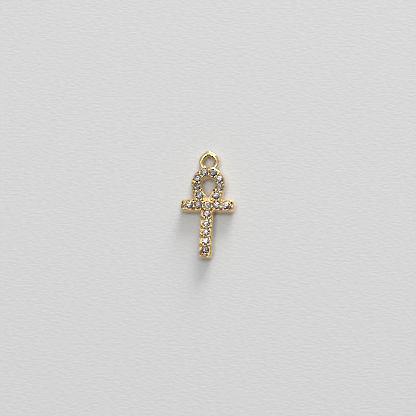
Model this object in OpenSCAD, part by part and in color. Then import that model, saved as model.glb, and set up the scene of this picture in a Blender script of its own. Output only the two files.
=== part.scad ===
// A small pave-set ankh charm: one cast metal setting with a loop, a crossbar, a stem and an
// eye for hanging, and 18 round faceted stones held by shared bead prongs.
// It lies on its back. X is across, Y runs up towards the eye and Z is out of the front.

/* [Stones] */
// Diameter of each round stone over its girdle
stone_d = 1; // [0.94:0.02:1.02]
// Distance between the centres of neighbouring stones on the bar and the stem
pitch = 1.22; // [1.2:0.01:1.26]
// Width of a stone's table as a share of its diameter
table_share = 0.56; // [0.5:0.01:0.62]
// Height of a stone's crown
crown_h = 0.16; // [0.12:0.01:0.18]
// Height of a stone's girdle
girdle_h = 0.035; // [0.02:0.005:0.06]
// Depth of a stone's pavilion
pavilion_h = 0.43; // [0.38:0.01:0.46]

/* [Setting] */
// Width of the bar
band_w = 1.5; // [1.4:0.02:1.6]
// Width of the stem
stem_w = 1.64; // [1.5:0.02:1.7]
// Radius of the corners at the ends of the bar and the stem
corner_r = 0.5; // [0.4:0.02:0.6]
// Height of the raised rim over the flat back
rim_h = 1.65; // [1.5:0.05:1.9]
// Width of the raised rim
rim_w = 0.16; // [0.14:0.01:0.18]
// How far the rim's outer edge is eased down and in
shoulder = 0.12; // [0.08:0.01:0.12]
// Depth of the channel between the rims
channel_h = 0.3; // [0.2:0.02:0.36]
// Depth of the stones' girdles below the rim's top
girdle_drop = 0.11; // [0.09:0.01:0.14]
// Length of the bar
bar_l = 7; // [6.9:0.05:7.3]
// Metal beyond the centre of the lowest stone on the stem
stem_tail = 0.95; // [0.86:0.01:1.1]

/* [Loop] */
// Height of the loop's centre over the bar's centre line
loop_y = 2.96; // [2.9:0.02:3.1]
// Outer radius of the loop
loop_r = 2.24; // [2.2:0.01:2.3]
// Radius of the ring that the loop's stones are on
loop_stone_r = 1.6; // [1.58:0.01:1.62]
// Half of the loop's width at the bar's centre line
loop_foot_x = 1.75; // [1.7:0.05:1.85]
// Radius of the round upper part of the opening
opening_r = 0.94; // [0.9:0.01:0.98]
// Height of the opening's pointed tip over the bar's centre line
opening_tip_y = 1; // [0.9:0.02:1.06]

/* [Eye] */
// How far the eye stands off the middle line
eye_x = -0.05; // [-0.1:0.01:0]
// Height of the eye's centre over the bar's centre line
eye_y = 6.08; // [6.06:0.01:6.1]
// Turn of the eye, whose peak leans a little to the left
eye_turn = 7; // [6:1:8]
// Radius of the eye's hole
eye_hole_r = 0.74; // [0.73:0.01:0.76]
// Width of the eye's wire
eye_wire_w = 0.6; // [0.58:0.01:0.62]
// Thickness of the eye's wire from back to front
eye_wire_h = 1.3; // [1.1:0.05:1.3]
// Rounding of the wire's edges
eye_round = 0.25; // [0.2:0.01:0.26]
// Radius of the bend in the middle of the wire at the eye's peak
peak_bend_r = 0.35; // [0.34:0.01:0.38]
// Slope of the normal of the straight sides that run up to the peak
peak_slope = 54; // [52:1:55]

/* [Prongs] */
// Radius of a bead prong
bead_r = 0.185; // [0.16:0.005:0.2]
// Distance of a bead from the middle of its pair
bead_off = 0.29; // [0.27:0.01:0.32]
// Height of a bead's tip over the rim
bead_rise = 0.12; // [0.06:0.01:0.14]
// Gap between a stone and its seat
seat_gap = 0.015; // [0.01:0.005:0.02]

/* [Hidden] */
$fn = 48;
stone_r = stone_d / 2;
table_r = table_share * stone_r;
girdle_z = rim_h - girdle_drop;
table_z = girdle_z + crown_h;
channel_z = rim_h - channel_h;
bead_z = rim_h + bead_rise - bead_r;
eps = 0.01;
// A height that is clear of all the metal
over_z = rim_h + 1;
// How far a straight side stays inside the circle it runs into, so that the two cross cleanly
graze = 0.002;

// Each step of the eased edge: how far it stays below the rim's top, and how far it is taken in
shoulder_steps = [[shoulder, 0], [shoulder * 0.42, shoulder * 0.3], [0, shoulder * 0.7]];

// Share of a girdle's radius at which the star facets and the lower half facets end
star_share = 0.77;
lower_share = 0.26;

// How far a bead at the end of a run is from the last stone's centre
end_bead = 0.62;

bar_count = 5;
stem_count = 5;
side = (bar_count - 1) / 2;

// Angles from the loop's top at which its upper three stones on each side are
loop_angles = [21.2, 67.2, 109];
// Place of the loop's lowest stone on each side, from the centre of the bar
loop_low = [1.1, 1.31];
// Place of the bead that fills the corner between the loop, the bar and the opening
corner_bead = [0.54, 0.72];

function on_loop(a) = [loop_stone_r * sin(a), loop_y + loop_stone_r * cos(a)];
function mirrored(p) = [-p[0], p[1]];

loop_half = concat([for (a = loop_angles) on_loop(a)], [loop_low]);
loop_left = [for (i = [3:-1:0]) mirrored(loop_half[i])];
loop_at = concat(loop_left, loop_half);
bar_at = [for (i = [-side:side]) [i * pitch, 0]];
stem_at = [for (i = [1:stem_count]) [0, -i * pitch]];
stem_run = concat([[0, 0]], stem_at);
stem_end_y = -stem_count * pitch - stem_tail;

// A pair of beads stands across the middle of each two neighbouring stones
function pair(a, b) =
    let (m = (a + b) / 2, u = (b - a) / norm(b - a), n = [-u[1], u[0]])
    [m + bead_off * n, m - bead_off * n];
function pairs(run) = [for (i = [0:len(run) - 2], p = pair(run[i], run[i + 1])) p];

bead_at = concat(
    pairs(loop_at),
    pairs(bar_at),
    pairs(stem_run),
    pair(loop_low, bar_at[side + 1]),
    pair(mirrored(loop_low), bar_at[side - 1]),
    [corner_bead, mirrored(corner_bead)],
    [bar_at[bar_count - 1] + [end_bead, 0], bar_at[0] - [end_bead, 0]],
    [stem_at[stem_count - 1] - [0, end_bead]]
);

// The eye's wire: a ring with two straight sides that meet in a small bend at the peak
wire_r = eye_hole_r + eye_wire_w / 2;
bend_y = (wire_r - peak_bend_r) / sin(peak_slope);
side_l = bend_y * cos(peak_slope);
eye_top = eye_y + bend_y * cos(eye_turn) + peak_bend_r + eye_wire_w / 2;

// The middle of the charm's height is at Y = 0
cross_y = -(eye_top + stem_end_y) / 2;

// Outer shape of the loop, taken in by e all round
module loop_shape(e) {
    a = atan2(loop_y, loop_foot_x) - acos(loop_r / norm([loop_foot_x, loop_y]));
    r = loop_r - e;
    q = r - graze;
    foot = (q - sin(a) * loop_y) / cos(a);
    translate([0, loop_y]) circle(r, $fn = 96);
    polygon([
        [q * cos(a), loop_y - q * sin(a)], [-q * cos(a), loop_y - q * sin(a)],
        [-foot, 0], [foot, 0]
    ]);
}

// The teardrop opening in the loop, made larger by e all round
module opening_shape(e) {
    a = asin(opening_r / (loop_y - opening_tip_y));
    r = opening_r + e;
    q = r - graze;
    translate([0, loop_y]) {
        circle(r, $fn = 64);
        polygon([[q * cos(a), -q * sin(a)], [-q * cos(a), -q * sin(a)], [0, -q / sin(a)]]);
    }
}

// A bar of size w by h with rounded corners, centred, taken in by e all round
module bar_shape(w, h, e) {
    c = corner_r;
    for (x = [-1, 1], y = [-1, 1])
        translate([x * (w / 2 - c), y * (h / 2 - c)]) circle(c - e);
    square([w - 2 * e, h - 2 * c], center = true);
    square([w - 2 * c, h - 2 * e], center = true);
}

// Plan of the charm without its eye, taken in by e all round
module outline(e) {
    difference() {
        union() {
            loop_shape(e);
            bar_shape(bar_l, band_w, e);
            translate([0, stem_end_y / 2]) bar_shape(stem_w, -stem_end_y, e);
        }
        opening_shape(e);
    }
}

// Section of the eye's wire: a rectangle with rounded corners, taken in by e all round
module wire_section(e = 0) {
    w = eye_wire_w / 2;
    h = eye_wire_h;
    r = eye_round;
    for (x = [r - w, w - r], y = [r, h - r]) translate([x, y]) circle(r - e, $fn = 24);
    translate([e - w, r]) square([2 * (w - e), h - 2 * r]);
    translate([r - w, e]) square([2 * (w - r), h - 2 * e]);
}

// The straight sides are a hair thinner than the two bends, and run a little way into them
module eye() {
    translate([eye_x, eye_y, 0]) rotate(eye_turn) {
        rotate(180 - peak_slope)
            rotate_extrude(angle = 180 + 2 * peak_slope, $fn = 96)
                translate([wire_r, 0]) wire_section();
        for (m = [0, 1]) mirror([m, 0, 0])
            rotate(peak_slope) translate([wire_r, -eps, 0]) rotate([90, 0, 180])
                linear_extrude(side_l + 2 * eps) wire_section(graze);
        translate([0, bend_y, 0]) rotate(peak_slope)
            rotate_extrude(angle = 180 - 2 * peak_slope)
                translate([peak_bend_r, 0]) wire_section();
    }
}

module bead(at) {
    translate([at[0], at[1], channel_z - eps]) cylinder(h = bead_z - channel_z + eps, r = bead_r);
    translate([at[0], at[1], bead_z]) sphere(bead_r, $fn = 32);
}

// Room that a stone needs in the metal: a seat below the girdle and a cone above it
module seat(at) {
    r = stone_r + seat_gap;
    mouth_r = table_r + 3 * seat_gap;
    bed_z = girdle_z - girdle_h;
    translate([at[0], at[1], 0]) rotate_extrude() polygon([
        [0, bed_z - pavilion_h - seat_gap], [r, bed_z - seat_gap], [r, girdle_z + seat_gap],
        [mouth_r, table_z + seat_gap], [mouth_r, over_z], [0, over_z]
    ]);
}

module setting() {
    color("goldenrod") translate([0, cross_y, 0]) difference() {
        union() {
            difference() {
                union() {
                    difference() {
                        for (s = shoulder_steps) linear_extrude(rim_h - s[0]) outline(s[1]);
                        translate([eye_x, eye_y, -eps])
                            cylinder(h = over_z, r = eye_hole_r + graze, $fn = 96);
                    }
                    eye();
                }
                translate([0, 0, channel_z]) linear_extrude(rim_h) outline(rim_w);
            }
            for (at = bead_at) bead(at);
        }
        for (at = concat(loop_at, bar_at, stem_at)) seat(at);
    }
}

// A round brilliant: table, 8 stars, 8 kites, 16 upper halves, girdle, 16 lower halves, 8 mains
module stone(at, turn) {
    star_r = star_share * stone_r;
    star_h = crown_h * (stone_r - star_r * cos(22.5)) / (stone_r - table_r);
    lower_r = lower_share * stone_r;
    lower_h = pavilion_h * (1 - lower_r * cos(22.5) / stone_r);
    function ring(n, r, z, a) = [for (i = [0:n - 1]) let (b = a + i * 360 / n) [r * cos(b), r * sin(b), z]];
    T = 0;
    S = 8;
    G = 16;
    H = 32;
    L = 48;
    C = 56;
    points = concat(
        ring(8, table_r, crown_h, 0),
        ring(8, star_r, star_h, 22.5),
        ring(16, stone_r, 0, 0),
        ring(16, stone_r, -girdle_h, 0),
        ring(8, lower_r, -girdle_h - lower_h, 22.5),
        [[0, 0, -girdle_h - pavilion_h]]
    );
    faces = concat(
        [[for (i = [7:-1:0]) T + i]],
        [for (i = [0:7]) [T + (i + 1) % 8, S + i, T + i]],
        [for (i = [0:7]) [T + i, S + i, G + 2 * i, S + (i + 7) % 8]],
        [for (i = [0:7]) [S + i, G + 2 * i + 1, G + 2 * i]],
        [for (i = [0:7]) [S + i, G + (2 * i + 2) % 16, G + 2 * i + 1]],
        [for (i = [0:15]) [G + i, G + (i + 1) % 16, H + (i + 1) % 16, H + i]],
        [for (i = [0:7]) [L + i, H + 2 * i, H + 2 * i + 1]],
        [for (i = [0:7]) [L + i, H + 2 * i + 1, H + (2 * i + 2) % 16]],
        [for (i = [0:7]) [C, L + (i + 7) % 8, H + 2 * i, L + i]]
    );
    color("aliceblue") translate([at[0], at[1] + cross_y, girdle_z]) rotate(turn)
        polyhedron(points, faces);
}

setting();
for (i = [1:len(loop_at)])
    stone(loop_at[i - 1], 17 * i);
for (i = [1:bar_count])
    stone(bar_at[i - 1], 11 * i);
for (i = [1:stem_count])
    stone(stem_at[i - 1], 13 * i);
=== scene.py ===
"""Looks for a small pave-set ankh charm lying on pale paper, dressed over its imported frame."""
import math

import bpy
import numpy as np
from mathutils import Matrix, Vector


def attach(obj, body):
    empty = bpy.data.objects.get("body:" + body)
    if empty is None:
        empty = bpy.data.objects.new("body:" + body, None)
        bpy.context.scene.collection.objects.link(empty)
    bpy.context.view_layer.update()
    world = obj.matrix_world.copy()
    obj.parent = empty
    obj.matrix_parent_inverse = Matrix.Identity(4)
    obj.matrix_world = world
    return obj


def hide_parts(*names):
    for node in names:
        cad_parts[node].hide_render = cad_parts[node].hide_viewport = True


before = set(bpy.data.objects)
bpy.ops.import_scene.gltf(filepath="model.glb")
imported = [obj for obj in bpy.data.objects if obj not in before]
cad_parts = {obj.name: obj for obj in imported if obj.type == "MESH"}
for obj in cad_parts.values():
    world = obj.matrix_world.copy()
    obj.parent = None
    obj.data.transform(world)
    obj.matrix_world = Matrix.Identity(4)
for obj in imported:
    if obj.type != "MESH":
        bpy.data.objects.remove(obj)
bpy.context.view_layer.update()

# One millimetre in metres
MM = 0.001

# Sizes in millimetres, the same as the part's own, measured from the crossing of bar and stem
STONE_R = 0.5
PITCH = 1.22
TABLE_R = 0.56 * STONE_R
CROWN_H = 0.16
GIRDLE_H = 0.035
PAVILION_H = 0.43
BAND_W = 1.5
STEM_W = 1.64
RIM_H = 1.65
RIM_W = 0.16
BAR_L = 7.0
STEM_END = 5 * PITCH + 0.95
CORNER_R = 0.5
LOOP_Y = 2.96
LOOP_R = 2.24
LOOP_STONE_R = 1.6
LOOP_STONE_ANGLES = (21.2, 67.2, 109)
LOOP_LOW_STONE = (1.1, 1.31)
LOOP_FOOT_X = 1.75
OPENING_R = 0.94
OPENING_TIP_Y = 1.0
EYE_X = -0.05
EYE_Y = 6.08
EYE_TURN = math.radians(7)
EYE_HOLE_R = 0.74
WIRE_W = 0.6
WIRE_H = 1.3
WIRE_ROUND = 0.25
BEND_R = 0.35
PEAK_SLOPE = math.radians(54)
BEAD_R = 0.185
BEAD_OFF = 0.29
END_BEAD = 0.62
CORNER_BEAD = (0.54, 0.72)
BEAD_RISE = 0.12
BEAD_Z = RIM_H + BEAD_RISE - BEAD_R
SEAT_GAP = 0.015
GIRDLE_Z = RIM_H - 0.11
TABLE_Z = GIRDLE_Z + CROWN_H
CROSS_Y = -0.263265

# Finish of the cast edges: the rounding that casting, tumbling and plating leave
BACK_ROUND = 0.1
RIM_ROUND = 0.2
INNER_ROUND = 0.05
CORNER_FILLET = 0.16
EYE_FILLET = 0.16
BEAD_FILLET = 0.12
SEAT_ROUND = 0.02
# The mound under a bead as a share of the bead's radius, and the radius of the head that the scene puts on it
MOUND_SHARE = 0.8
BEAD_HEAD_R = 0.215
BEAD_SEED = 7
# The channel's floor, which comes up round the stones' edges, where the beads were pushed over them
FILL_Z = RIM_H - 0.07
# Pits, one outside each bead: their floor, the rounding of their rims, half their length, and how far in they are
PIT_Z = RIM_H - 0.4
PIT_ROUND = 0.04
PIT_HALF = 0.13
PIT_EDGE = 0.19
# Radius of a pit that faces left or down, and of one that faces right or up, parted by the sum of its outward X and Y
LOOP_PIT_RADII = (0.05, 0.03)
PIT_RADII = (0.115, 0.055)
PIT_TURN = 0.3
# Where a pit is looked for outwards from its bead, in how many steps, and how near it has to come
PIT_SEARCH = (0.1, 0.45, 36)
PIT_NEAR = 0.02
# Pits beside the beads at the two ends of the bar and at the end of the stem: both ends of each, and its radius
END_PITS = (
    (-3.26, -0.4, -3.2, -0.3, 0.13), (-3.31, 0.02, -3.24, 0.42, 0.06),
    (2.95, -0.5, 3.2, -0.4, 0.15), (3.22, 0.24, 3.2, 0.44, 0.07),
    (-0.45, -6.72, -0.34, -6.84, 0.12), (0.2, -6.84, 0.36, -6.79, 0.115), (-0.58, -6.25, -0.53, -6.6, 0.09),
)
# The height over which the painted recess shade and the unpolished finish fade out, and the share of it that is over
# the channel's floor
SHADE_AND_POLISH_FADE = 0.12
SHADE_AND_POLISH_OVER = 0.3
# Waves left by casting: their height, and for each its turns along X, Y and Z in radians a millimetre and its start
CAST_WAVE = 0.006
WAVES = ((5.5, 2.6, 3.1, 0.7), (-3.7, 7.0, -2.5, 2.1), (8.3, -5.3, 4.4, 4.0), (1.9, 9.2, 5.8, 5.5))

# Grid that the surface is found on: its step, its step up the plain walls, their top, and its reach past the metal
GRID = 0.0435
WALL_STEP = 0.11
WALL_TOP = 0.98
MARGIN = 0.08
EYE_REACH = 1.6
BEAD_REACH = 0.2
# Rounds that move the grid's points onto the surface, the step that its slope is measured over, and the least slope
SETTLE_ROUNDS = 3
SLOPE_STEP = 0.004
LEAST_SLOPE = 0.3


def srgb(code, alpha=1.0):
    """A hex sRGB colour as Blender's linear one."""
    parts = [int(code[i:i + 2], 16) / 255 for i in (1, 3, 5)]
    linear = [c / 12.92 if c <= 0.04045 else ((c + 0.055) / 1.055) ** 2.4 for c in parts]
    return (*linear, alpha)


def add_node(tree, kind, values=None, links=None, **settings):
    """Adds one node, with its settings, its inputs' values and the sockets linked into them."""
    node = tree.nodes.new(kind)
    for name, value in settings.items():
        setattr(node, name, value)
    for name, value in (values or {}).items():
        node.inputs[name].default_value = value
    for name, socket in (links or {}).items():
        tree.links.new(socket, node.inputs[name])
    return node


# Where the stones and the bead prongs are

def on_loop(degrees):
    a = math.radians(degrees)
    return np.array([LOOP_STONE_R * math.sin(a), LOOP_Y + LOOP_STONE_R * math.cos(a)])


def mirrored(point):
    return point * np.array([-1, 1])


def pair(a, b):
    """The two beads that stand across the middle between neighbouring stones a and b."""
    along = (b - a) / np.linalg.norm(b - a)
    across = np.array([-along[1], along[0]]) * BEAD_OFF
    return [(a + b) / 2 + across, (a + b) / 2 - across]


def pairs(run):
    return [bead for a, b in zip(run, run[1:]) for bead in pair(a, b)]


loop_low = np.array(LOOP_LOW_STONE)
corner_bead = np.array(CORNER_BEAD)
loop_half = [on_loop(a) for a in LOOP_STONE_ANGLES] + [loop_low]
loop_run = [mirrored(p) for p in reversed(loop_half)] + loop_half
bar_run = [np.array([i * PITCH, 0.0]) for i in range(-2, 3)]
stem_run = [np.array([0.0, -i * PITCH]) for i in range(6)]
stones = np.array(loop_run + bar_run + stem_run[1:])
end_across = np.array([END_BEAD, 0.0])
end_down = np.array([0.0, END_BEAD])
beads = np.array(
    pairs(loop_run) + pairs(bar_run) + pairs(stem_run)
    + pair(loop_low, bar_run[3]) + pair(mirrored(loop_low), bar_run[1])
    + [corner_bead, mirrored(corner_bead)]
    + [bar_run[4] + end_across, bar_run[0] - end_across, stem_run[5] - end_down]
)


# The setting as a distance field, in millimetres, negative inside the metal

def smooth_min(a, b, k):
    """The nearer of two surfaces, with the crease between them filled over the width k."""
    h = np.maximum(k - abs(a - b), 0)
    return np.minimum(a, b) - h * h / (4 * k)


def smooth_max(a, b, k):
    return -smooth_min(-a, -b, k)


def drop_edge(x, y, radius, slope):
    """Edge of a circle whose sides run on downwards as straight tangents, from the angle slope below its middle."""
    q, h = abs(x), y - LOOP_Y
    down = -q * math.sin(slope) - h * math.cos(slope)
    straight = q * math.cos(slope) - h * math.sin(slope) - radius
    return np.where(down > 0, straight, np.hypot(q, h) - radius)


def round_box(u, v, half_u, half_v, radius):
    a, b = abs(u) - half_u + radius, abs(v) - half_v + radius
    return np.minimum(np.maximum(a, b), 0) + np.hypot(np.maximum(a, 0), np.maximum(b, 0)) - radius


def outline_edge(x, y):
    """Distance from the charm's outline, the teardrop opening included, but not the eye."""
    reach = math.hypot(LOOP_FOOT_X, LOOP_Y)
    slope = math.atan2(LOOP_Y, LOOP_FOOT_X) - math.acos(LOOP_R / reach)
    loop = np.maximum(drop_edge(x, y, LOOP_R, slope), -y)
    bar = round_box(x, y, BAR_L / 2, BAND_W / 2, CORNER_R)
    stem = round_box(x, y + STEM_END / 2, STEM_W / 2, STEM_END / 2, CORNER_R)
    cross = smooth_min(bar, stem, CORNER_FILLET)
    opening = drop_edge(x, y, OPENING_R, math.asin(OPENING_R / (LOOP_Y - OPENING_TIP_Y)))
    return np.maximum(smooth_min(cross, loop, CORNER_FILLET), -opening)


def slab(edge, z, top, round_low, round_top):
    """A plate from z = 0 to top inside edge, with its back and front edges rounded."""
    r = np.where(z > top / 2, round_top, round_low)
    a, b = edge + r, abs(z - top / 2) - top / 2 + r
    return np.minimum(np.maximum(a, b), 0) + np.hypot(np.maximum(a, 0), np.maximum(b, 0)) - r


def eye_wire(x, y, z):
    """The eye's wire: a ring, two straight sides and a small bend at the peak, of a rounded flat section."""
    mid_r = EYE_HOLE_R + WIRE_W / 2
    bend_y = (mid_r - BEND_R) / math.sin(PEAK_SLOPE)
    side_l = bend_y * math.cos(PEAK_SLOPE)
    u, v = x - EYE_X, y - EYE_Y
    q = abs(u * math.cos(EYE_TURN) + v * math.sin(EYE_TURN))
    h = v * math.cos(EYE_TURN) - u * math.sin(EYE_TURN)
    up = -q * math.sin(PEAK_SLOPE) + h * math.cos(PEAK_SLOPE)
    side = q * math.cos(PEAK_SLOPE) + h * math.sin(PEAK_SLOPE) - mid_r
    bend = np.hypot(q, h - bend_y) - BEND_R
    from_path = np.where(up < 0, np.hypot(q, h) - mid_r, np.where(up < side_l, side, bend))
    return round_box(from_path, z - WIRE_H / 2, WIRE_W / 2, WIRE_H / 2, WIRE_ROUND)


def nearest(x, y, places):
    """Distance in plan from the nearest of some places."""
    best = np.full(np.broadcast(x, y).shape, 1e9)
    for px, py in places:
        best = np.minimum(best, (x - px) ** 2 + (y - py) ** 2)
    return np.sqrt(best)


def pits_beside(run, wide, narrow):
    """Pits along the rims, one on the outer side of each bead: both ends of its middle line, and its radius."""
    found = []
    for a, b in zip(run, run[1:]):
        along = (b - a) / np.linalg.norm(b - a)
        for bead in pair(a, b):
            out = (bead - (a + b) / 2) / BEAD_OFF
            steps = bead + out * np.linspace(*PIT_SEARCH)[:, None]
            off = abs(outline_edge(*steps.T) + PIT_EDGE)
            if off.min() < PIT_NEAR:
                middle = steps[off.argmin()]
                radius = wide if out.sum() < PIT_TURN else narrow
                found.append((*(middle - along * PIT_HALF), *(middle + along * PIT_HALF), radius))
    return found


def pit_edge(x, y):
    """Distance in plan from the edge of the nearest pit."""
    best = np.full(np.broadcast(x, y).shape, 1e9)
    for ax, ay, bx, by, radius in pits:
        u, v = bx - ax, by - ay
        t = np.clip(((x - ax) * u + (y - ay) * v) / (u * u + v * v), 0, 1)
        best = np.minimum(best, np.hypot(x - ax - t * u, y - ay - t * v) - radius)
    return best


def cast_wave(x, y, z):
    """The slow unevenness that wax and casting leave in a surface, from -1 to 1."""
    return sum(np.sin(a * x + b * y + c * z + d) for a, b, c, d in WAVES) / len(WAVES)


pits = (
    pits_beside(loop_run, *LOOP_PIT_RADII) + pits_beside(bar_run, *PIT_RADII) + pits_beside(stem_run, *PIT_RADII)
    + list(END_PITS)
)


def seat_room(rho, z):
    """The room a stone needs: a cone under its girdle, a bearing wall, and a cone over its crown."""
    r, top_r = STONE_R + SEAT_GAP, TABLE_R + 3 * SEAT_GAP
    apex_z = GIRDLE_Z - GIRDLE_H - PAVILION_H - SEAT_GAP
    low = (rho * PAVILION_H - (z - apex_z) * r) / math.hypot(PAVILION_H, r)
    run, rise = r - top_r, CROWN_H
    crown = ((rho - r) * rise + (z - GIRDLE_Z - SEAT_GAP) * run) / math.hypot(run, rise)
    return np.maximum(np.maximum(low, rho - r), np.minimum(crown, rho - top_r))


def setting_field(x, y, z, plan=None):
    """Distance from the setting's surface. plan holds the fields that depend on x and y alone."""
    edge, from_stone, from_bead, from_pit = plan or plan_fields(x, y)
    body = slab(edge, z, RIM_H, BACK_ROUND, RIM_ROUND)
    hole = EYE_HOLE_R - np.hypot(x - EYE_X, y - EYE_Y)
    body = np.maximum(body, hole)
    channel = np.maximum(edge + RIM_W, FILL_Z - z)
    body = smooth_max(body, -channel, INNER_ROUND)
    body = smooth_min(body, eye_wire(x, y, z), EYE_FILLET)
    mound = np.maximum(from_bead - MOUND_SHARE * BEAD_R, abs(z - BEAD_Z / 2) - BEAD_Z / 2)
    body = smooth_min(body, mound, BEAD_FILLET) + CAST_WAVE * cast_wave(x, y, z)
    body = smooth_max(body, -np.maximum(from_pit, PIT_Z - z), PIT_ROUND)
    body = smooth_max(body, -seat_room(from_stone, z), SEAT_ROUND)
    return np.maximum(body, -z)


def plan_fields(x, y):
    return outline_edge(x, y), nearest(x, y, stones), nearest(x, y, beads), pit_edge(x, y)


def surface_net(xs, ys, zs, field):
    """Points and quads of the surface where a field sampled on a grid changes sign."""
    inside = field < 0
    n = np.array(inside.shape) - 1
    offsets = [(i, j, k) for i in (0, 1) for j in (0, 1) for k in (0, 1)]
    count = sum(inside[i:i + n[0], j:j + n[1], k:k + n[2]].astype(np.int8) for i, j, k in offsets)
    cell = np.argwhere((count > 0) & (count < 8))
    ids = np.full(tuple(n), -1, np.int64)
    ids[tuple(cell.T)] = np.arange(len(cell))
    total, hits = np.zeros((len(cell), 3)), np.zeros(len(cell))
    for axis in range(3):
        others = [a for a in range(3) if a != axis]
        for i in (0, 1):
            for j in (0, 1):
                start = cell.copy()
                start[:, others[0]] += i
                start[:, others[1]] += j
                end = start.copy()
                end[:, axis] += 1
                a, b = field[tuple(start.T)], field[tuple(end.T)]
                cross = (a < 0) != (b < 0)
                t = np.where(cross, a / np.where(cross, a - b, 1), 0)
                where = (start - cell).astype(float)
                where[:, axis] = t
                total += where * cross[:, None]
                hits += cross
    at = total / hits[:, None]
    points = np.empty_like(at)
    for axis, line in enumerate((xs, ys, zs)):
        low = line[cell[:, axis]]
        points[:, axis] = low + at[:, axis] * (line[cell[:, axis] + 1] - low)
    quads = []
    for axis in range(3):
        u, v = (axis + 1) % 3, (axis + 2) % 3
        here = [slice(1, -1)] * 3
        here[axis] = slice(0, -1)
        there = list(here)
        there[axis] = slice(1, None)
        a, b = inside[tuple(here)], inside[tuple(there)]
        for start_inside in (True, False):
            at = np.argwhere((a != b) & (a == start_inside))
            for other in (u, v):
                at[:, other] += 1
            corners = []
            for du, dv in ((1, 1), (0, 1), (0, 0), (1, 0)):
                c = at.copy()
                c[:, u] -= du
                c[:, v] -= dv
                corners.append(ids[tuple(c.T)])
            quad = np.stack(corners, 1)
            quads.append(quad if start_inside else quad[:, ::-1])
    return points, np.concatenate(quads)


def slopes(points):
    """The field at some points, and the direction in which it grows."""
    base = setting_field(*points.T)
    grown = []
    for axis in range(3):
        moved = points.copy()
        moved[:, axis] += SLOPE_STEP
        grown.append((setting_field(*moved.T) - base) / SLOPE_STEP)
    slope = np.stack(grown, 1)
    return base, slope / np.maximum(np.linalg.norm(slope, axis=1), LEAST_SLOPE)[:, None]


def mesh_object(name, points, faces):
    """A new object whose mesh is placed in the frame: points are in millimetres from the crossing."""
    mesh = bpy.data.meshes.new(name)
    placed = (np.asarray(points) + (0, CROSS_Y, 0)) * MM
    mesh.from_pydata(placed.tolist(), [], np.asarray(faces).tolist() if len(faces) else [])
    mesh.validate()
    made = bpy.data.objects.new(name, mesh)
    bpy.context.scene.collection.objects.link(made)
    return made


def make_setting():
    """The casting's whole surface. Its walls are plain, so their rows are further apart."""
    xs = np.arange(-BAR_L / 2 - MARGIN, BAR_L / 2 + MARGIN, GRID)
    ys = np.arange(-STEM_END - MARGIN, EYE_Y + EYE_REACH + MARGIN, GRID)
    low_end = BACK_ROUND + GRID
    zs = np.concatenate([
        np.arange(-2 * GRID, low_end, GRID) + GRID / 3,
        np.arange(low_end + WALL_STEP, WALL_TOP, WALL_STEP),
        np.arange(WALL_TOP + GRID, RIM_H + BEAD_REACH, GRID),
    ])
    x, y = xs[:, None], ys[None, :]
    plan = [f[:, :, None] for f in plan_fields(x, y)]
    field = setting_field(x[:, :, None], y[:, :, None], zs[None, None, :], plan)
    points, quads = surface_net(xs, ys, zs, field)
    for _ in range(SETTLE_ROUNDS):
        value, out = slopes(points)
        points -= out * np.clip(value, -GRID, GRID)[:, None]
    made = mesh_object("cast_setting", points, quads)
    made.data.shade_smooth()
    # The recess mask: painted shade in the channel and the seats, and a duller finish there
    made.data.attributes.new("recess_shade_and_skin", "FLOAT", "POINT").data.foreach_set("value", recess_shade_and_skin(points))
    return made


def recess_shade_and_skin(points):
    """How far a point of the setting is from what a polishing wheel reaches, in the channel and the seats: 0 to 1. It
    paints shade into these recesses and dulls the finish there.
    """
    x, y, z = points.T
    inside = np.clip((-outline_edge(x, y) - 0.5 * RIM_W) / (0.5 * RIM_W), 0, 1)
    deep = np.clip((FILL_Z + SHADE_AND_POLISH_OVER * SHADE_AND_POLISH_FADE - z) / SHADE_AND_POLISH_FADE, 0, 1)
    return inside * deep * (z > RIM_H / 2)


# Materials

def new_material(name):
    made = bpy.data.materials.new(name)
    made.use_nodes = True
    tree = made.node_tree
    tree.nodes.clear()
    shader = add_node(tree, "ShaderNodeBsdfPrincipled")
    add_node(tree, "ShaderNodeOutputMaterial", links={"Surface": shader.outputs["BSDF"]})
    return made, tree, shader


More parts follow.
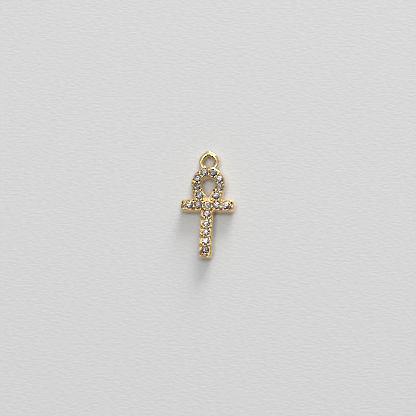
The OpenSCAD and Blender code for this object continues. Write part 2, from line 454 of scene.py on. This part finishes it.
def gold_plate():
    """Polished gold plate over cast brass, under a clear lacquer: warm mirror reflections, softly rippled by the
    casting under them, with a thin white gloss on top and a fine grain from polishing. In the channel and the seats,
    where a wheel doesn't reach, it is duller, as an unpolished cast skin, and browner, which is painted shade."""
    made, tree, shader = new_material("polished gold plate")
    shader.inputs["Metallic"].default_value = 1
    shader.inputs["Coat Weight"].default_value = 1
    shader.inputs["Coat IOR"].default_value = 1.6
    shader.inputs["Coat Roughness"].default_value = 0.1
    place = add_node(tree, "ShaderNodeTexCoord").outputs["Object"]
    deep = add_node(tree, "ShaderNodeAttribute", attribute_name="recess_shade_and_skin").outputs["Fac"]
    ripple = add_node(tree, "ShaderNodeTexNoise", {"Scale": 1 / (0.7 * MM), "Detail": 0.5}, {"Vector": place})
    grain = add_node(tree, "ShaderNodeTexNoise", {"Scale": 1 / (0.03 * MM), "Detail": 2}, {"Vector": place})
    low = add_node(tree, "ShaderNodeBump", {"Strength": 0.3, "Distance": 0.035 * MM}, {"Height": ripple.outputs["Fac"]})
    fine = add_node(
        tree, "ShaderNodeBump", {"Strength": 0.15, "Distance": 0.002 * MM},
        {"Height": grain.outputs["Fac"], "Normal": low.outputs["Normal"]},
    )
    tone = add_node(
        tree, "ShaderNodeMix", {"A": srgb("#F7DDA0"), "B": srgb("#EDC480")}, {"Factor": ripple.outputs["Fac"]},
        data_type="RGBA",
    )
    # Painted shade: a browner base colour in the channel and the seats
    painted_shade_and_skin = add_node(
        tree, "ShaderNodeMix", {"B": srgb("#96622A")}, {"Factor": deep, "A": tone.outputs["Result"]}, data_type="RGBA",
    )
    tree.links.new(painted_shade_and_skin.outputs["Result"], shader.inputs["Base Color"])
    polish = add_node(tree, "ShaderNodeMapRange", {"To Min": 0.05, "To Max": 0.13}, {"Value": grain.outputs["Fac"]})
    dull = add_node(tree, "ShaderNodeMix", {"B": 0.35}, {"Factor": deep, "A": polish.outputs["Result"]})
    tree.links.new(dull.outputs["Result"], shader.inputs["Roughness"])
    tree.links.new(fine.outputs["Normal"], shader.inputs["Normal"])
    return made


def cut_zirconia():
    """Cubic zirconia, cut and polished: strong reflections over a body painted grey with darker clouds, which is
    painted shade that darkens these clear stones.
    """
    made, tree, shader = new_material("cut zirconia")
    place = add_node(tree, "ShaderNodeTexCoord").outputs["Object"]
    painted_shade_patch = add_node(tree, "ShaderNodeTexNoise", {"Scale": 1 / (0.45 * MM), "Detail": 1}, {"Vector": place})
    contrast = add_node(
        tree, "ShaderNodeMapRange", {"From Min": 0.35, "From Max": 0.65}, {"Value": painted_shade_patch.outputs["Fac"]},
    )
    # Painted shade: a grey body with darker patches that darkens the clear stones
    body = add_node(
        tree, "ShaderNodeMix", {"A": srgb("#4A3E3B"), "B": srgb("#D9D3D4")}, {"Factor": contrast.outputs["Result"]},
        data_type="RGBA",
    )
    tree.links.new(body.outputs["Result"], shader.inputs["Base Color"])
    shader.inputs["Roughness"].default_value = 0
    shader.inputs["IOR"].default_value = 2.17
    shader.inputs["Transmission Weight"].default_value = 1
    return made


def laid_paper():
    """Uncoated art paper: matt off-white, with long fibres pressed into it that run across. Single fibres are too
    fine to show at the photo's scale, so they are drawn coarser, as bundles about a quarter of a millimetre wide."""
    made, tree, shader = new_material("uncoated paper")
    shader.inputs["Roughness"].default_value = 0.9
    shader.inputs["Specular IOR Level"].default_value = 0.2
    place = add_node(tree, "ShaderNodeTexCoord").outputs["Object"]
    stretch = add_node(
        tree, "ShaderNodeMapping", {"Scale": (0.36, 1, 1), "Rotation": (0, 0, math.radians(-2.7))}, {"Vector": place},
    )
    fibre = add_node(
        tree, "ShaderNodeTexNoise", {"Scale": 1 / (0.26 * MM), "Detail": 1}, {"Vector": stretch.outputs["Vector"]},
    )
    relief = add_node(tree, "ShaderNodeBump", {"Strength": 1, "Distance": 0.032 * MM}, {"Height": fibre.outputs["Fac"]})
    shade = add_node(
        tree, "ShaderNodeMix", {"A": srgb("#DCDCDC"), "B": srgb("#E8E8E8")}, {"Factor": fibre.outputs["Fac"]},
        data_type="RGBA",
    )
    tree.links.new(shade.outputs["Result"], shader.inputs["Base Color"])
    tree.links.new(relief.outputs["Normal"], shader.inputs["Normal"])
    return made


gold = gold_plate()
stone_material = cut_zirconia()


def socket_id(tree, name):
    return next(i.identifier for i in tree.interface.items_tree if i.name == name and i.in_out == "INPUT")


def bead_tree():
    """Round-topped prong beads on the points of a mesh, each a little different in size and lean."""
    tree = bpy.data.node_groups.new("prong beads", "GeometryNodeTree")
    face = tree.interface
    face.new_socket("Geometry", in_out="INPUT", socket_type="NodeSocketGeometry")
    for name, kind in (
        ("Radius", "NodeSocketFloat"), ("Waist", "NodeSocketFloat"), ("Foot", "NodeSocketFloat"),
        ("Size spread", "NodeSocketFloat"), ("Lean", "NodeSocketFloat"), ("Seed", "NodeSocketInt"),
        ("Finish", "NodeSocketMaterial"),
    ):
        face.new_socket(name, in_out="INPUT", socket_type=kind)
    face.new_socket("Geometry", in_out="OUTPUT", socket_type="NodeSocketGeometry")
    given = add_node(tree, "NodeGroupInput").outputs
    ball = add_node(tree, "GeometryNodeMeshUVSphere", {"Segments": 28, "Rings": 18}, {"Radius": given["Radius"]})
    place = add_node(tree, "ShaderNodeSeparateXYZ", links={0: add_node(tree, "GeometryNodeInputPosition").outputs[0]})
    depth = add_node(tree, "ShaderNodeMath", links={0: place.outputs["Z"], 1: given["Radius"]}, operation="DIVIDE")
    thin = add_node(
        tree, "ShaderNodeMapRange", {"From Min": 0, "From Max": -0.4, "To Min": 1},
        {"Value": depth.outputs[0], "To Max": given["Waist"]}, interpolation_type="SMOOTHSTEP",
    )
    long = add_node(
        tree, "ShaderNodeMapRange", {"From Min": 0.05, "From Max": -0.05, "To Min": 1},
        {"Value": depth.outputs[0], "To Max": given["Foot"]},
    )
    scale = add_node(
        tree, "ShaderNodeCombineXYZ",
        links={"X": thin.outputs["Result"], "Y": thin.outputs["Result"], "Z": long.outputs["Result"]},
    )
    shaped = add_node(
        tree, "ShaderNodeVectorMath",
        links={0: add_node(tree, "GeometryNodeInputPosition").outputs[0], 1: scale.outputs[0]}, operation="MULTIPLY",
    )
    bead = add_node(
        tree, "GeometryNodeSetPosition",
        links={"Geometry": ball.outputs["Mesh"], "Position": shaped.outputs["Vector"]},
    )
    less = add_node(tree, "ShaderNodeMath", {0: 1}, {1: given["Size spread"]}, operation="SUBTRACT")
    more = add_node(tree, "ShaderNodeMath", {0: 1}, {1: given["Size spread"]}, operation="ADD")
    size = add_node(
        tree, "FunctionNodeRandomValue",
        links={"Min": less.outputs[0], "Max": more.outputs[0], "Seed": given["Seed"]}, data_type="FLOAT_VECTOR",
    )
    back = add_node(tree, "ShaderNodeMath", {1: -1}, {0: given["Lean"]}, operation="MULTIPLY")
    tip_low = add_node(tree, "ShaderNodeCombineXYZ", links={"X": back.outputs[0], "Y": back.outputs[0]})
    tip_high = add_node(tree, "ShaderNodeCombineXYZ", {"Z": math.tau}, {"X": given["Lean"], "Y": given["Lean"]})
    tip = add_node(
        tree, "FunctionNodeRandomValue",
        links={"Min": tip_low.outputs[0], "Max": tip_high.outputs[0], "Seed": given["Seed"]}, data_type="FLOAT_VECTOR",
    )
    spread = add_node(
        tree, "GeometryNodeInstanceOnPoints",
        links={
            "Points": given["Geometry"], "Instance": bead.outputs[0],
            "Rotation": tip.outputs["Value"], "Scale": size.outputs["Value"],
        },
    )
    real = add_node(tree, "GeometryNodeRealizeInstances", links={"Geometry": spread.outputs[0]})
    smooth = add_node(tree, "GeometryNodeSetShadeSmooth", links={"Geometry": real.outputs[0]})
    done = add_node(
        tree, "GeometryNodeSetMaterial", links={"Geometry": smooth.outputs[0], "Material": given["Finish"]},
    )
    add_node(tree, "NodeGroupOutput", links={"Geometry": done.outputs[0]})
    return tree


def apply_tree(piece, tree, sizes):
    """Runs a node tree on a piece with the given sizes, and keeps the result as its plain mesh."""
    modifier = piece.modifiers.new(tree.name, "NODES")
    modifier.node_group = tree
    for name, value in sizes.items():
        modifier[socket_id(tree, name)] = value
    bpy.context.view_layer.update()
    made = bpy.data.meshes.new_from_object(piece.evaluated_get(bpy.context.evaluated_depsgraph_get()))
    piece.modifiers.remove(modifier)
    piece.data = made
    made.name = piece.name


setting = make_setting()
setting.data.materials.append(gold)
prongs = mesh_object("prong_beads", [(x, y, RIM_H + BEAD_RISE - BEAD_HEAD_R) for x, y in beads], [])
apply_tree(prongs, bead_tree(), {
    "Radius": BEAD_HEAD_R * MM, "Waist": 0.88, "Foot": 1.6, "Size spread": 0.1, "Lean": 0.2, "Seed": BEAD_SEED,
    "Finish": gold,
})
for piece in (setting, prongs):
    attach(piece, "root")
    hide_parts("setting")
for name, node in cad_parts.items():
    if name.startswith("stone_"):
        node.data.materials.clear()
        node.data.materials.append(stone_material)

# The paper that the charm lies on
PAPER_HALF = 600
corners = [(x * PAPER_HALF, y * PAPER_HALF, 0) for x, y in ((-1, -1), (1, -1), (1, 1), (-1, 1))]
paper = mesh_object("paper", corners, [(0, 1, 2, 3)])
paper.data.materials.append(laid_paper())

# Camera: nearly straight down, from below and a little to the right, far enough away to look flat
TILT = math.radians(16)
AZIMUTH = math.radians(19)
ROLL = math.radians(2.57)
DISTANCE = 280
PIXELS_PER_MM = 7.59
FRAME_PIXELS = 416
CROSSING_PIXEL = (207.06, 204.83)

toward = Vector((math.sin(TILT) * math.sin(AZIMUTH), -math.sin(TILT) * math.cos(AZIMUTH), math.cos(TILT)))
flat_up = (Vector((0, 1, 0)) - toward.y * toward).normalized()
flat_right = flat_up.cross(toward)
cam_right = math.cos(ROLL) * flat_right + math.sin(ROLL) * flat_up
cam_up = toward.cross(cam_right)
middle = FRAME_PIXELS / 2
target = (
    Vector((0, CROSS_Y, TABLE_Z))
    + cam_right * (middle - CROSSING_PIXEL[0]) / PIXELS_PER_MM
    + cam_up * (CROSSING_PIXEL[1] - middle) / PIXELS_PER_MM
)
camera_data = bpy.data.cameras.new("camera")
camera_data.sensor_width = 36
camera_data.lens = camera_data.sensor_width * DISTANCE * PIXELS_PER_MM / FRAME_PIXELS
camera_data.clip_start = 0.01
camera_data.clip_end = 10
camera = bpy.data.objects.new("camera", camera_data)
turn = Matrix((cam_right, cam_up, toward)).transposed().to_4x4()
camera.matrix_world = Matrix.Translation((target + toward * DISTANCE) * MM) @ turn
bpy.context.scene.collection.objects.link(camera)
bpy.context.scene.camera = camera

# Light: a low window at the top right, three lamps high up, and soft white cards in a dim room
LAMP_DISTANCE = 0.7
LAMPS = {
    # compass angle from +X and height in degrees, width in metres, power in watts
    "window": (78, 19, 0.3, 3.7), "lamp_right": (25, 77, 0.22, 0.75), "lamp_left": (155, 75, 0.2, 0.55),
    "lamp_near": (225, 70, 0.16, 0.5),
}
ROOM = 0.13
ROOM_CARDS = (
    # compass angle from +X and height in degrees, half width where it ends and where it is full, strength
    (75, 10, 70, 35, 0.3), (109, 66, 38, 26, 0.4), (260, 2, 28, 14, 0.3),
)
SHARPEN = 0.06


def way_to(compass, height):
    a, h = math.radians(compass), math.radians(height)
    return Vector((math.cos(a) * math.cos(h), math.sin(a) * math.cos(h), math.sin(h)))


def hang_lamp(name, compass, height, size, power):
    """A square lamp that faces the charm."""
    data = bpy.data.lights.new(name, "AREA")
    data.shape = "SQUARE"
    data.size = size
    data.energy = power
    lamp = bpy.data.objects.new(name, data)
    lamp.location = way_to(compass, height) * LAMP_DISTANCE
    lamp.rotation_euler = way_to(compass, height).to_track_quat("Z", "Y").to_euler()
    bpy.context.scene.collection.objects.link(lamp)


def lit_room(least, cards):
    """A dim room with round white cards in it."""
    room = bpy.data.worlds.new("room")
    room.use_nodes = True
    sky = room.node_tree
    sky.nodes.clear()
    way = add_node(sky, "ShaderNodeTexCoord").outputs["Generated"]
    glows = []
    for compass, height, end, full, strength in cards:
        facing = add_node(
            sky, "ShaderNodeVectorMath", {1: way_to(compass, height)}, {0: way}, operation="DOT_PRODUCT",
        )
        card = add_node(
            sky, "ShaderNodeMapRange",
            {"From Min": math.cos(math.radians(end)), "From Max": math.cos(math.radians(full)), "To Max": strength},
            {"Value": facing.outputs["Value"]}, interpolation_type="SMOOTHSTEP",
        )
        behind = {1: glows[-1]} if glows else {}
        glows.append(add_node(
            sky, "ShaderNodeMath", {1: least}, {0: card.outputs["Result"], **behind}, operation="ADD",
        ).outputs[0])
    backdrop = add_node(sky, "ShaderNodeBackground", {"Color": srgb("#FFFFFF")}, {"Strength": glows[-1]})
    add_node(sky, "ShaderNodeOutputWorld", links={"Surface": backdrop.outputs[0]})
    return room


for name, lamp in LAMPS.items():
    hang_lamp(name, *lamp)
bpy.context.scene.world = lit_room(ROOM, ROOM_CARDS)
bpy.context.scene.view_settings.view_transform = "Standard"

# The mild sharpening that a camera gives its pictures
bpy.context.scene.use_nodes = True
finish = bpy.context.scene.node_tree
finish.nodes.clear()
taken = add_node(finish, "CompositorNodeRLayers")
crisp = add_node(
    finish, "CompositorNodeFilter", {"Fac": SHARPEN}, {"Image": taken.outputs["Image"]}, filter_type="SHARPEN_DIAMOND",
)
add_node(finish, "CompositorNodeComposite", links={"Image": crisp.outputs["Image"]})
